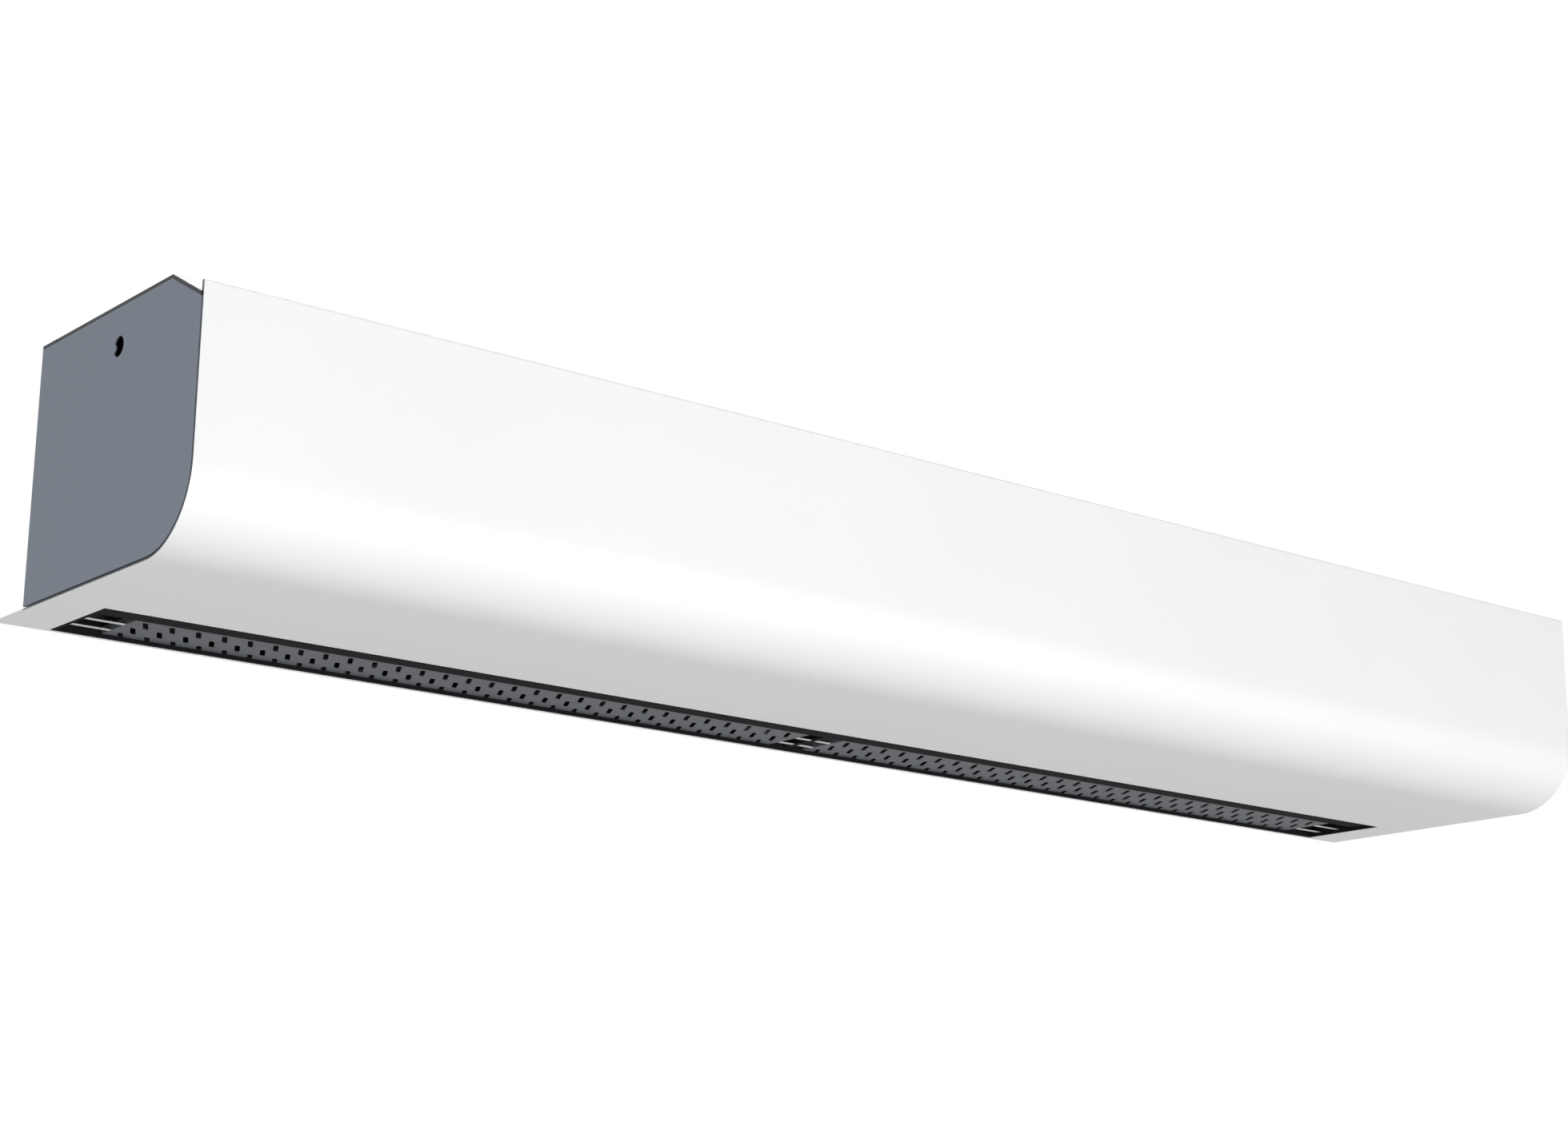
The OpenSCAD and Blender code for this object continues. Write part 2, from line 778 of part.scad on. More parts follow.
module motor_stator() {
    color("peru") on_unit() difference() {
        rod(-core_half, core_half, axis_y, rotor_z, motor_r - casing_t, 96);
        rod(-core_half - 1, core_half + 1, axis_y, rotor_z, core_r + air_gap, 64);
    }
}

module motor_core() {
    color("silver") on_unit() difference() {
        rod(-core_half, core_half, axis_y, rotor_z, core_r, 64);
        rod(-core_half - 1, core_half + 1, axis_y, rotor_z, shaft_r);
    }
}

module motor_shaft() {
    end = wheel_in + hub_l;
    color("silver") on_unit() rod(-end, end, axis_y, rotor_z, shaft_r);
}

// Grooved rubber rings between the motor's bosses and its plates
module motor_rubbers() {
    mid = motor_plate_x + motor_plate_t / 2;
    color("black") on_unit() at_both_ends() difference() {
        union() {
            rod(mid - rubber_l / 2, mid + rubber_l / 2, axis_y, rotor_z, rubber_r);
            rod(mid - rubber_l / 2, motor_plate_x, axis_y, rotor_z, rubber_r + rubber_rim);
            rod(motor_plate_x + motor_plate_t, mid + rubber_l / 2, axis_y, rotor_z, rubber_r + rubber_rim);
        }
        rod(mid - rubber_l, mid + rubber_l, axis_y, rotor_z, boss_r);
    }
}

// ---- Fans ----

// One blade: a short arc that leans forwards
module blade_outline() {
    steps = 4;
    inner = rotor_r - 0.5 - blade_d;
    path = [for (i = [0:steps]) let (s = i / steps) [inner + blade_d * s, 7 * s * s]];
    sheet_outline(path, blade_t);
}

module fan_wheel() {
    pitch = (wheel_out - wheel_in - disc_t) / wheel_bays;
    color("lightgray") on_unit() {
        difference() {
            union() {
                for (i = [0:wheel_bays])
                    rod(wheel_in + i * pitch, wheel_in + i * pitch + disc_t, axis_y, rotor_z, rotor_r, 96);
                rod(wheel_in, wheel_in + hub_l, axis_y, rotor_z, hub_r);
                rod(wheel_out - hub_l, wheel_out, axis_y, rotor_z, hub_r);
            }
            rod(wheel_in - 1, wheel_in + hub_l + 1, axis_y, rotor_z, shaft_r);
            rod(wheel_out - hub_l - 1, wheel_out + 1, axis_y, rotor_z, stub_r);
            for (i = [1:wheel_bays - 1]) {
                x = wheel_in + i * pitch;
                rod(x - 1, x + disc_t + 1, axis_y, rotor_z, rotor_r - ring_w, 64);
            }
        }
        translate([0, axis_y, rotor_z]) along_x(wheel_in + eps, wheel_out - eps)
            for (i = [0:blade_n - 1]) rotate(i * 360 / blade_n) blade_outline();
    }
}

module stub_shafts() {
    color("silver") on_unit() at_both_ends()
        rod(wheel_out - hub_l, side_x + bush_l / 2 + 1, axis_y, rotor_z, stub_r);
}

module bearing_bushes() {
    mid = (bay_x + side_x) / 2;
    color("goldenrod") on_unit() at_both_ends() difference() {
        rod(mid - bush_l / 2, mid + bush_l / 2, axis_y, rotor_z, bush_r);
        rod(mid - bush_l, mid + bush_l, axis_y, rotor_z, stub_r + run_gap);
    }
}

module bearing_rubbers() {
    mid = (bay_x + side_x) / 2;
    color("black") on_unit() at_both_ends() difference() {
        union() {
            rod(mid - bush_l / 2, mid + bush_l / 2, axis_y, rotor_z, grommet_r);
            rod(mid - bush_l / 2, bay_x, axis_y, rotor_z, grommet_flange);
            rod(side_x, mid + bush_l / 2, axis_y, rotor_z, grommet_flange);
        }
        rod(mid - bush_l, mid + bush_l, axis_y, rotor_z, bush_r);
    }
}

// ---- Hinge and catches ----

module hinge_brackets() {
    eye_r = pin_r + hinge_rim;
    arm_d = 26;
    arm_low = 22;
    arm_top = 40;
    color("silver") on_unit() at_both_ends() difference() {
        along_x(side_x, side_x + hinge_plate_t) {
            translate([-hinge_y, hinge_z]) circle(r = eye_r, $fn = 48);
            polygon([
                [-hinge_y - eye_r, hinge_z], [-hinge_y + eye_r * 0.3, hinge_z],
                [-hinge_y, hinge_z + arm_top], [-hinge_y - arm_d, hinge_z + arm_top],
                [-hinge_y - arm_d, hinge_z + arm_low]
            ]);
        }
        rod(side_x - 1, side_x + hinge_plate_t + 1, -hinge_y, hinge_z, pin_r);
    }
}

// Pins pressed into the brackets, with a head outside the ears
module hinge_pins() {
    head_gap = 1.5;
    head_t = 1.5;
    end = ear_x + ear_t + head_gap;
    color("silver") on_unit() at_both_ends() {
        rod(side_x, end, -hinge_y, hinge_z, pin_r);
        rod(end, end + head_t, -hinge_y, hinge_z, pin_r + 1.5);
    }
}

// Spring clips under the rail that bear on the inside of the cover
module cover_catches() {
    clip_w = 24;
    clip_h = 16;
    leaf_t = 1;
    leaf_gap = 1.5;
    nose = front_y + cover_t + leaf_gap;
    color("silver") on_unit() for (x = [-0.85, -0.3, 0.3, 0.85])
        along_x(x * side_x - clip_w / 2, x * side_x + clip_w / 2)
            sheet_outline([
                [rib_front - sheet_t, rail_low], [rib_front - rail_d + leaf_t, rail_low],
                [nose, rail_low - 0.75 * clip_h], [nose + 2 * leaf_t, rail_low - clip_h]
            ], leaf_t);
}

// ---- Electrical parts ----

module control_box() {
    color("gainsboro") on_unit() difference() {
        translate([box_x0, box_front, tray_top]) cube([box_l, box_d, box_h]);
        translate([box_x0 + box_wall, box_front - 1, tray_top + box_wall])
            cube([box_l - 2 * box_wall, box_d - box_wall + 1, box_h - 2 * box_wall]);
        translate([box_x0 - 1, box_front + box_d * 0.7, tray_top + box_h * 0.75]) rotate([0, 90, 0])
            cylinder(r = box_h * 0.09, h = box_wall + 2, $fn = 32);
    }
}

module control_box_lid() {
    knob_r = 4;
    knob_h = 2;
    color("gainsboro") on_unit() {
        translate([box_x0, box_front - lid_t, tray_top]) cube([box_l, lid_t, box_h]);
        for (x = [box_x0 + 3 * knob_r, box_x1 - 3 * knob_r])
            translate([x, box_front - lid_t, tray_top + box_h / 2]) rotate([90, 0, 0])
                cylinder(r = knob_r, h = knob_h, $fn = 32);
    }
}

// Rows of clamps on the box's floor
module terminal_block() {
    block_d = 34;
    block_h = 26;
    channel = 8;
    x0 = box_x0 + clamp_inset;
    y0 = box_front + 16;
    z0 = tray_top + box_wall;
    color("ivory") on_unit() difference() {
        translate([x0, y0, z0]) cube([clamp_n * clamp_pitch, block_d, block_h]);
        for (i = [0:clamp_n - 1], share = [0.2, 0.8])
            translate([x0 + (i + 0.5) * clamp_pitch, y0 + share * block_d, z0 + block_h / 2])
                cylinder(r = clamp_pitch * 0.3, h = block_h, $fn = 32);
        translate([x0 - 1, y0 + (block_d - channel) / 2, z0 + block_h * 0.6])
            cube([clamp_n * clamp_pitch + 2, channel, block_h]);
    }
}

// Circuit board with a relay, a transformer and a terminal strip, on posts on the back wall
module control_board() {
    x0 = box_x0 + clamp_inset + clamp_n * clamp_pitch + board_gap;
    board_l = box_x1 - capacitor_inset - capacitor_r - 1 - x0;
    board_t = 1.6;
    post_l = 6.5;
    back = box_front + box_d - box_wall;
    face = back - post_l - board_t + 0.1;
    z0 = tray_top + board_inset;
    board_h = box_h - board_inset - 10;
    color("seagreen") on_unit() {
        for (x = [0.09, 0.91], z = [0.09, 0.91])
            translate([x0 + x * board_l, back, z0 + z * board_h]) rotate([90, 0, 0])
                cylinder(r = 2.5, h = post_l, $fn = 32);
        translate([x0, face, z0]) cube([board_l, board_t, board_h]);
        translate([x0 + 0.15 * board_l, face - 16, z0 + 0.18 * board_h])
            cube([0.31 * board_l, 16 + eps, 0.36 * board_h]);
        translate([x0 + 0.56 * board_l, face - 14, z0 + 0.2 * board_h])
            cube([0.18 * board_l, 14 + eps, 0.3 * board_h]);
        translate([x0 + 0.13 * board_l, face - 10, z0 + 0.75 * board_h])
            cube([0.67 * board_l, 10 + eps, 0.16 * board_h]);
    }
}

module fan_capacitor() {
    can_h = 58;
    cap_h = 5;
    tag_h = 7;
    x0 = box_x1 - capacitor_inset;
    y = box_front + box_d - box_wall - capacitor_r - 2;
    z = tray_top + box_wall;
    color("whitesmoke") on_unit() translate([x0, y, z]) {
        cylinder(r = capacitor_r, h = can_h, $fn = 64);
        translate([0, 0, can_h - eps]) cylinder(r = capacitor_r - 4, h = cap_h, $fn = 48);
        for (s = [-1, 1]) translate([5 * s - 0.5, -3, can_h + cap_h - 1]) cube([1, 6, tag_h]);
    }
}

// Heater contactor on the box's floor
module contactor() {
    base_d = 44;
    base_h = 40;
    head = 4;
    x0 = box_x1 - contactor_inset;
    y0 = box_front + 8;
    z0 = tray_top + box_wall;
    color("dimgray") on_unit() difference() {
        union() {
            translate([x0, y0, z0]) cube([contactor_l, base_d, base_h]);
            translate([x0 + head, y0 + 2 * head, z0 + base_h - eps])
                cube([contactor_l - 2 * head, base_d - 4 * head, 14]);
        }
        for (i = [0:2], y = [head, base_d - head])
            translate([x0 + contactor_l * (0.22 + 0.28 * i), y0 + y, z0 + base_h * 0.75])
                cylinder(r = 2.6, h = base_h, $fn = 32);
    }
}

// Threaded cable entry through the top panel: stem, lock nut, body and dome nut
module cable_gland() {
    stem_l = 12;
    nut_h = 5;
    body_h = 6;
    dome_low = 7;
    dome_h = 9;
    body_r = gland_bore + 3.5;
    hex_r = body_r + 4;
    length = stem_l + top_t + dome_low + dome_h;
    color("black") on_unit() translate([gland_x, rear_face - top_panel_d / 2, 0]) difference() {
        union() {
            translate([0, 0, carcass_top - stem_l]) cylinder(r = body_r, h = length - nut_h + 1, $fn = 64);
            translate([0, 0, carcass_top - nut_h]) cylinder(r = hex_r, h = nut_h, $fn = 6);
            translate([0, 0, unit_h]) cylinder(r = hex_r, h = body_h, $fn = 6);
            translate([0, 0, unit_h + dome_low]) cylinder(r = hex_r - 1, h = dome_h, $fn = 12);
        }
        translate([0, 0, carcass_top - stem_l - 1]) cylinder(r = gland_bore, h = length + 2, $fn = 64);
    }
}

// ---- Mounting ----

module wall_bracket() {
    x0 = bracket_spacing / 2 - bracket_w / 2;
    top = unit_h + bolt_lift + bolt_pitch + 14;
    color("gainsboro") on_unit() difference() {
        union() {
            translate([x0, -bracket_foot, unit_h]) cube([bracket_w, bracket_foot, bracket_t]);
            translate([x0, -bracket_t, unit_h]) cube([bracket_w, bracket_t, top - unit_h]);
            for (x = [x0, x0 + bracket_w - bracket_t])
                along_x(x, x + bracket_t) polygon([
                    [-bracket_t / 2, unit_h + bracket_t / 2], [-bracket_foot * 0.7, unit_h + bracket_t / 2],
                    [-bracket_foot * 0.7, unit_h + bracket_t + 3], [-bracket_t - 4, top - 8],
                    [-bracket_t / 2, top - 8]
                ]);
        }
        for (i = [0, 1])
            translate([bracket_spacing / 2, 1, unit_h + bolt_lift + i * bolt_pitch])
                rotate([90, 0, 0]) cylinder(r = bolt_r, h = bracket_t + 2, $fn = 48);
        for (s = [-1, 1])
            translate([bracket_spacing / 2 + s * bracket_w / 4, -bracket_foot * 0.65, unit_h - 1])
                cylinder(r = 3.1, h = bracket_t + 2, $fn = 32);
    }
}

// Screws that hold the body to its brackets
module bracket_screws() {
    color("silver") on_unit() for (x = [-1, 1], s = [-1, 1])
        translate([x * bracket_spacing / 2 + s * bracket_w / 4, -bracket_foot * 0.65, 0]) {
            translate([0, 0, carcass_top - 8]) cylinder(r = 3, h = 8 + top_t + bracket_t + eps, $fn = 32);
            translate([0, 0, unit_h + bracket_t]) cylinder(r = 5, h = 4, $fn = 6);
            translate([0, 0, carcass_top - 5]) cylinder(r = 5, h = 5, $fn = 6);
        }
}

module wall_buffers() {
    color("black") on_unit() for (x = [-0.8, 0.8])
        translate([x * side_x, 0, unit_h * 0.25]) rotate([90, 0, 0])
            cylinder(r = buffer_r, h = -rear_face - sheet_t, $fn = 48);
}

front_cover();
mirror([1, 0, 0]) end_panel();  // end_panel_left
end_panel();  // end_panel_right
top_panel();
intake_grille();
rear_panel();
base_tray();
front_rail();
mirror([1, 0, 0]) side_plate();  // side_plate_left
side_plate();  // side_plate_right
mirror([1, 0, 0]) motor_plate();  // motor_plate_left
motor_plate();  // motor_plate_right
mirror([1, 0, 0]) rear_guide();  // rear_guide_left
rear_guide();  // rear_guide_right
mirror([1, 0, 0]) stabiliser();  // stabiliser_left
stabiliser();  // stabiliser_right
outlet_frame();
mirror([1, 0, 0]) outlet_lattice(-cell_lean);  // outlet_lattice_left
outlet_lattice(cell_lean);  // outlet_lattice_right
mirror([1, 0, 0]) heater();  // heater_left
heater();  // heater_right
heater_brackets();
thermal_cutout();
motor_casing();
motor_stator();
motor_core();
motor_shaft();
motor_rubbers();
mirror([1, 0, 0]) fan_wheel();  // fan_wheel_left
fan_wheel();  // fan_wheel_right
stub_shafts();
bearing_bushes();
bearing_rubbers();
hinge_brackets();
hinge_pins();
cover_catches();
control_box();
control_box_lid();
terminal_block();
control_board();
fan_capacitor();
contactor();
cable_gland();
mirror([1, 0, 0]) wall_bracket();  // wall_bracket_left
wall_bracket();  // wall_bracket_right
bracket_screws();
wall_buffers();
top_screws();
end_panel_rivets();
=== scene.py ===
# Wall-hung air curtain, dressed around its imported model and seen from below, as it hangs in use.
# The file follows the unit as it is put together, from its chassis to the white front cover.
import json
import math

import bpy
from mathutils import Matrix, Vector


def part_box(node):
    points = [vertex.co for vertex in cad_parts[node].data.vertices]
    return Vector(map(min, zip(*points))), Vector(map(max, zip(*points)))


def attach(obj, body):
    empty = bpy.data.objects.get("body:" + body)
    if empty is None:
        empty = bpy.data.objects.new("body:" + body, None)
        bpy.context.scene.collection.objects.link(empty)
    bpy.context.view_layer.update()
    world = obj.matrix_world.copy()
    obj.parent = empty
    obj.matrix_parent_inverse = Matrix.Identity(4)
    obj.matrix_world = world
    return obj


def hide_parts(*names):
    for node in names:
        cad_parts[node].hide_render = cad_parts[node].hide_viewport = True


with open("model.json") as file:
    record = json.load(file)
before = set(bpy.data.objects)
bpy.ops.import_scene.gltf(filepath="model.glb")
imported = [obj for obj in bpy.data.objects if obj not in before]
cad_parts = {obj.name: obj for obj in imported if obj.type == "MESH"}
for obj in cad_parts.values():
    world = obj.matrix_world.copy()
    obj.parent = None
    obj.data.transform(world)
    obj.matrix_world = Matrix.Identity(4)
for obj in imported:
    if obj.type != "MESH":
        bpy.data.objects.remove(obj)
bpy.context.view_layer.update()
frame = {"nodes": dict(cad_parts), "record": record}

# ---- Galvanised chassis sheets ----
# Rear sheet, base tray, front rail and the upright plates, folded from galvanised sheet with a faint
# spangle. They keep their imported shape, with their cut edges just broken.
MM = 0.001
SHEET_EDGE = 0.25 * MM
SAME_PLACE = 0.001 * MM
SHARP = math.radians(35)
NEARLY_FLAT = math.radians(0.2)


def select_only(piece):
    bpy.ops.object.select_all(action="DESELECT")
    piece.select_set(True)
    bpy.context.view_layer.objects.active = piece


def edit(piece):
    """Opens a piece in edit mode with nothing selected."""
    select_only(piece)
    bpy.ops.object.mode_set(mode="EDIT")
    bpy.ops.mesh.select_all(action="DESELECT")


def object_mode():
    bpy.ops.object.mode_set(mode="OBJECT")


def weld():
    """Merges the corners that lie in one place, all over the mesh in hand."""
    bpy.ops.mesh.select_all(action="SELECT")
    bpy.ops.mesh.remove_doubles(threshold=SAME_PLACE)


def apply_modifier(piece, kind, **settings):
    select_only(piece)
    modifier = piece.modifiers.new(kind.title(), kind)
    for name, value in settings.items():
        setattr(modifier, name, value)
    bpy.ops.object.modifier_apply(modifier=modifier.name)


def break_edges(piece, width):
    """Rounds every sharp edge a little, and keeps the broad faces beside it flat in their shading."""
    apply_modifier(piece, "BEVEL", width=width, segments=2, limit_method="ANGLE",
                   angle_limit=SHARP, use_clamp_overlap=False)
    select_only(piece)
    bpy.ops.object.shade_smooth_by_angle(angle=SHARP)
    apply_modifier(piece, "WEIGHTED_NORMAL", mode="FACE_AREA", weight=50, keep_sharp=True)


def body_of_node(node):
    groups = frame["record"]["behaviour"]["bodies"]
    return next(body for body, nodes in groups.items() if node in nodes)


def fit(piece, node, material):
    """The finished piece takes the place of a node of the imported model."""
    piece.data.materials.clear()
    piece.data.materials.append(material)
    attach(piece, body_of_node(node))
    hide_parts(node)


def dress(material, edge, *nodes):
    """Fits a copy of each node's shape, with its sharp edges broken by a small width."""
    for node in nodes:
        piece = bpy.data.objects.new(node + "_part", frame["nodes"][node].data.copy())
        bpy.context.scene.collection.objects.link(piece)
        edit(piece)
        weld()
        bpy.ops.mesh.dissolve_limited(angle_limit=NEARLY_FLAT)
        object_mode()
        break_edges(piece, edge)
        fit(piece, node, material)


def add_node(tree, kind, output, **inputs):
    """Adds a shader node, gives each input named here a number or a source, and returns one output."""
    made = tree.nodes.new(kind)
    for name, value in inputs.items():
        socket = made.inputs[name.replace("_", " ")]
        if isinstance(value, bpy.types.NodeSocket):
            tree.links.new(value, socket)
        else:
            socket.default_value = value
    return made.outputs[output]


class Finish:
    """A procedural surface: its colours, roughness and relief are read from Object coordinates, and where
    asked a colour from the way its faces turn.
    """

    def __init__(self, name, roughness=0.5, metallic=0.0, specular=0.5):
        self.material = bpy.data.materials.new(name)
        self.material.use_nodes = True
        self.tree = self.material.node_tree
        self.shader = self.tree.nodes["Principled BSDF"]
        self.shader.inputs["Roughness"].default_value = roughness
        self.shader.inputs["Metallic"].default_value = metallic
        self.shader.inputs["Specular IOR Level"].default_value = specular
        places = self.tree.nodes.new("ShaderNodeTexCoord")
        self.place = places.outputs["Object"]
        self.facing = places.outputs["Normal"]

    def add(self, kind, output, **inputs):
        return add_node(self.tree, kind, output, **inputs)

    def drive(self, name, source):
        """Gives one of the shader's inputs its source."""
        self.tree.links.new(source, self.shader.inputs[name])

    def axis(self, name, vector):
        """One coordinate of a place or of a direction."""
        return self.add("ShaderNodeSeparateXYZ", name, Vector=vector)

    def noise(self, per_metre, detail=2.0, stretch=None):
        """Noise of so many waves a metre, drawn out along an axis where the metal is rolled or ground."""
        place = self.place
        if stretch:
            place = self.add("ShaderNodeMapping", "Vector", Vector=place, Scale=stretch)
        return self.add("ShaderNodeTexNoise", "Fac", Vector=place, Scale=per_metre, Detail=detail)

    def flakes(self, per_metre):
        cells = self.add("ShaderNodeTexVoronoi", "Color", Vector=self.place, Scale=per_metre)
        return self.add("ShaderNodeSeparateColor", "Red", Color=cells)

    def between(self, pattern, low, high, start=0.3, end=0.7):
        """A value that runs from low to high as the pattern runs from start to end."""
        return self.add("ShaderNodeMapRange", "Result", Value=pattern,
                        From_Min=start, From_Max=end, To_Min=low, To_Max=high)

    def colours(self, pattern, first, second, start=0.3, end=0.7):
        ramp = self.tree.nodes.new("ShaderNodeValToRGB")
        for stop, position, colour in zip(ramp.color_ramp.elements, (start, end), (first, second)):
            stop.position = position
            stop.color = (*colour, 1)
        self.tree.links.new(pattern, ramp.inputs["Fac"])
        self.drive("Base Color", ramp.outputs["Color"])

    def overlay(self, mask, colour):
        """Lays another colour over the colours, where the mask is one."""
        under = self.shader.inputs["Base Color"].links[0].from_socket
        mix = self.tree.nodes.new("ShaderNodeMix")
        mix.data_type = "RGBA"
        mix.inputs["B"].default_value = (*colour, 1)
        self.tree.links.new(mask, mix.inputs["Factor"])
        self.tree.links.new(under, mix.inputs["A"])
        self.drive("Base Color", mix.outputs["Result"])

    def gloss(self, pattern, low, high):
        self.drive("Roughness", self.between(pattern, low, high))

    def relief(self, pattern, depth):
        bump = self.add("ShaderNodeBump", "Normal", Height=pattern, Distance=depth, Strength=1.0)
        self.drive("Normal", bump)


zinc = Finish("galvanised_sheet", metallic=0.85)
spangle = zinc.flakes(160)
zinc.colours(spangle, (0.46, 0.48, 0.50), (0.57, 0.59, 0.61), start=0.0, end=1.0)
zinc.gloss(spangle, 0.38, 0.47)
zinc.relief(zinc.noise(900), 0.02 * MM)
GALVANISED = zinc.material
dress(GALVANISED, SHEET_EDGE, "rear_panel", "base_tray", "front_rail", "side_plate_left",
      "side_plate_right", "motor_plate_left", "motor_plate_right")

# ---- Wall brackets, screws and buffers ----
# Two folded steel brackets that stay on the wall, the plated screws that hold the body to them, and
# the moulded rubber buffers that keep its back off the wall.
BRACKET_EDGE = 0.5 * MM
SCREW_EDGE = 0.3 * MM
RUBBER_EDGE = 0.5 * MM
METAL_DETAIL = 3.0
METAL_BRIGHTER = 0.06
METAL_DULLER = 0.08


def grained(name, first, second, grain, depth, detail=2.0, gloss=None, stretch=None, **surface):
    """A finish whose one fine grain gives its colours, its relief and, where asked, its gloss."""
    finish = Finish(name, **surface)
    pattern = finish.noise(grain, detail, stretch)
    finish.colours(pattern, first, second)
    if gloss:
        finish.gloss(pattern, *gloss)
    finish.relief(pattern, depth)
    return finish.material


def metal(name, first, second, roughness, grain, depth, stretch=None):
    """Bare or plated metal with a rolled, ground or blasted grain."""
    gloss = (roughness - METAL_BRIGHTER, roughness + METAL_DULLER)
    return grained(name, first, second, grain, depth, METAL_DETAIL, gloss, stretch, metallic=1.0)


ZINC_PLATE = metal("zinc_plate", (0.58, 0.58, 0.60), (0.74, 0.74, 0.75),
                   roughness=0.30, grain=700, depth=0.01 * MM)
RUBBER = grained("moulded_rubber", (0.018, 0.018, 0.019), (0.034, 0.034, 0.035),
                 grain=1500, depth=0.03 * MM, detail=3.0, roughness=0.75)
dress(GALVANISED, BRACKET_EDGE, "wall_bracket_left", "wall_bracket_right")
dress(ZINC_PLATE, SCREW_EDGE, "bracket_screws")
dress(RUBBER, RUBBER_EDGE, "wall_buffers")

# ---- Air path ----
# The spiral sheets behind the fans and the duct fronts with their rounded tongues, painted
# charcoal so that nothing shines through the outlet.
CHARCOAL_DARK = (0.030, 0.032, 0.035)
CHARCOAL_LIGHT = (0.044, 0.047, 0.051)
CHARCOAL = grained("charcoal_paint", CHARCOAL_DARK, CHARCOAL_LIGHT,
                   grain=520, depth=0.04 * MM, gloss=(0.48, 0.62), specular=0.3)
dress(CHARCOAL, SHEET_EDGE, "rear_guide_left", "rear_guide_right", "stabiliser_left", "stabiliser_right")

# ---- Motor ----
# A double-ended motor: a finned cast casing on rubber rings, the laminated stator and core inside
# it, and one ground shaft out of both ends.
CAST_EDGE = 0.6 * MM
CAST = metal("cast_aluminium", (0.44, 0.45, 0.46), (0.62, 0.63, 0.64),
             roughness=0.50, grain=420, depth=0.08 * MM)
LAMINATED = metal("laminations", (0.20, 0.20, 0.20), (0.38, 0.37, 0.36),
                  roughness=0.45, grain=90, depth=0.05 * MM, stretch=(22, 1, 1))
GROUND = metal("ground_steel", (0.62, 0.62, 0.63), (0.76, 0.76, 0.77),
               roughness=0.22, grain=160, depth=0.01 * MM, stretch=(6, 1, 1))
dress(CAST, CAST_EDGE, "motor_casing")
dress(LAMINATED, SHEET_EDGE, "motor_stator", "motor_core")
dress(GROUND, SHEET_EDGE, "motor_shaft")
dress(RUBBER, RUBBER_EDGE, "motor_rubbers")

# ---- Fan wheels ----
# Two long tangential wheels of rolled aluminium blades riveted into discs, carried on the motor
# shaft and, at the outer ends, on stub shafts that turn in sintered bushes held in rubber.
BLADE_EDGE = 0.15 * MM
ROLLED = metal("rolled_aluminium", (0.55, 0.56, 0.57), (0.72, 0.73, 0.74),
               roughness=0.34, grain=260, depth=0.02 * MM, stretch=(0.1, 1, 1))
BRONZE = metal("sintered_bronze", (0.40, 0.25, 0.10), (0.56, 0.37, 0.17),
               roughness=0.42, grain=1300, depth=0.03 * MM)
dress(ROLLED, BLADE_EDGE, "fan_wheel_left", "fan_wheel_right")
dress(GROUND, SHEET_EDGE, "stub_shafts")
dress(BRONZE, SHEET_EDGE, "bearing_bushes")
dress(RUBBER, RUBBER_EDGE, "bearing_rubbers")

# ---- Heaters ----
# Two finned stainless tubes over each half of the outlet, straw-tinted by heat, on galvanised
# brackets, and the ceramic overheat switch on the motor plate.
MOULDED_EDGE = 0.5 * MM
TINTED = metal("heat_tinted_steel", (0.30, 0.26, 0.22), (0.48, 0.45, 0.41),
               roughness=0.38, grain=60, depth=0.01 * MM, stretch=(1, 6, 6))
CREAM = grained("cream_moulding", (0.66, 0.61, 0.50), (0.74, 0.70, 0.60),
                grain=700, depth=0.02 * MM, roughness=0.5)
dress(TINTED, BLADE_EDGE, "heater_left", "heater_right")
dress(GALVANISED, SHEET_EDGE, "heater_brackets")
dress(CREAM, MOULDED_EDGE, "thermal_cutout")

# ---- Outlet frame and lattice ----
# A matt black moulded frame whose rim lines the slot, and two painted grey lattices of slanted slots
# in it, with a pair of bright plated tie bars across each open bay.
LATTICE_EDGE = 0.35 * MM
LATTICE_IN = 19.8 * MM
LATTICE_OUT = 691.7 * MM
TIE_BAR_COLOUR = (0.46, 0.46, 0.47)
BLACK = grained("black_moulding", (0.008, 0.008, 0.009), (0.016, 0.016, 0.018),
                grain=900, depth=0.03 * MM, gloss=(0.68, 0.82), specular=0.03)
dress(BLACK, MOULDED_EDGE, "outlet_frame")


def maths(tree, operation, *values):
    """A sum done on sockets and plain numbers."""
    made = tree.nodes.new("ShaderNodeMath")
    made.operation = operation
    for socket, value in zip(made.inputs, values):
        if isinstance(value, bpy.types.NodeSocket):
            tree.links.new(value, socket)
        else:
            socket.default_value = value
    return made.outputs[0]


lattice = Finish("lattice_paint", specular=0.05)
lattice_grain = lattice.noise(640, 3.0)
from_middle = maths(lattice.tree, "ABSOLUTE", lattice.axis("X", lattice.place))
on_lattice = maths(lattice.tree, "COMPARE", from_middle,
                   (LATTICE_IN + LATTICE_OUT) / 2, (LATTICE_OUT - LATTICE_IN) / 2)
plated = lattice.between(on_lattice, 1.0, 0.0, start=0.0, end=1.0)
lattice.colours(lattice_grain, (0.102, 0.110, 0.121), (0.138, 0.148, 0.162))
lattice.overlay(plated, TIE_BAR_COLOUR)
lattice.drive("Metallic", plated)
lattice.gloss(lattice_grain, 0.38, 0.54)
lattice.relief(lattice_grain, 0.05 * MM)
dress(lattice.material, LATTICE_EDGE, "outlet_lattice_left", "outlet_lattice_right")

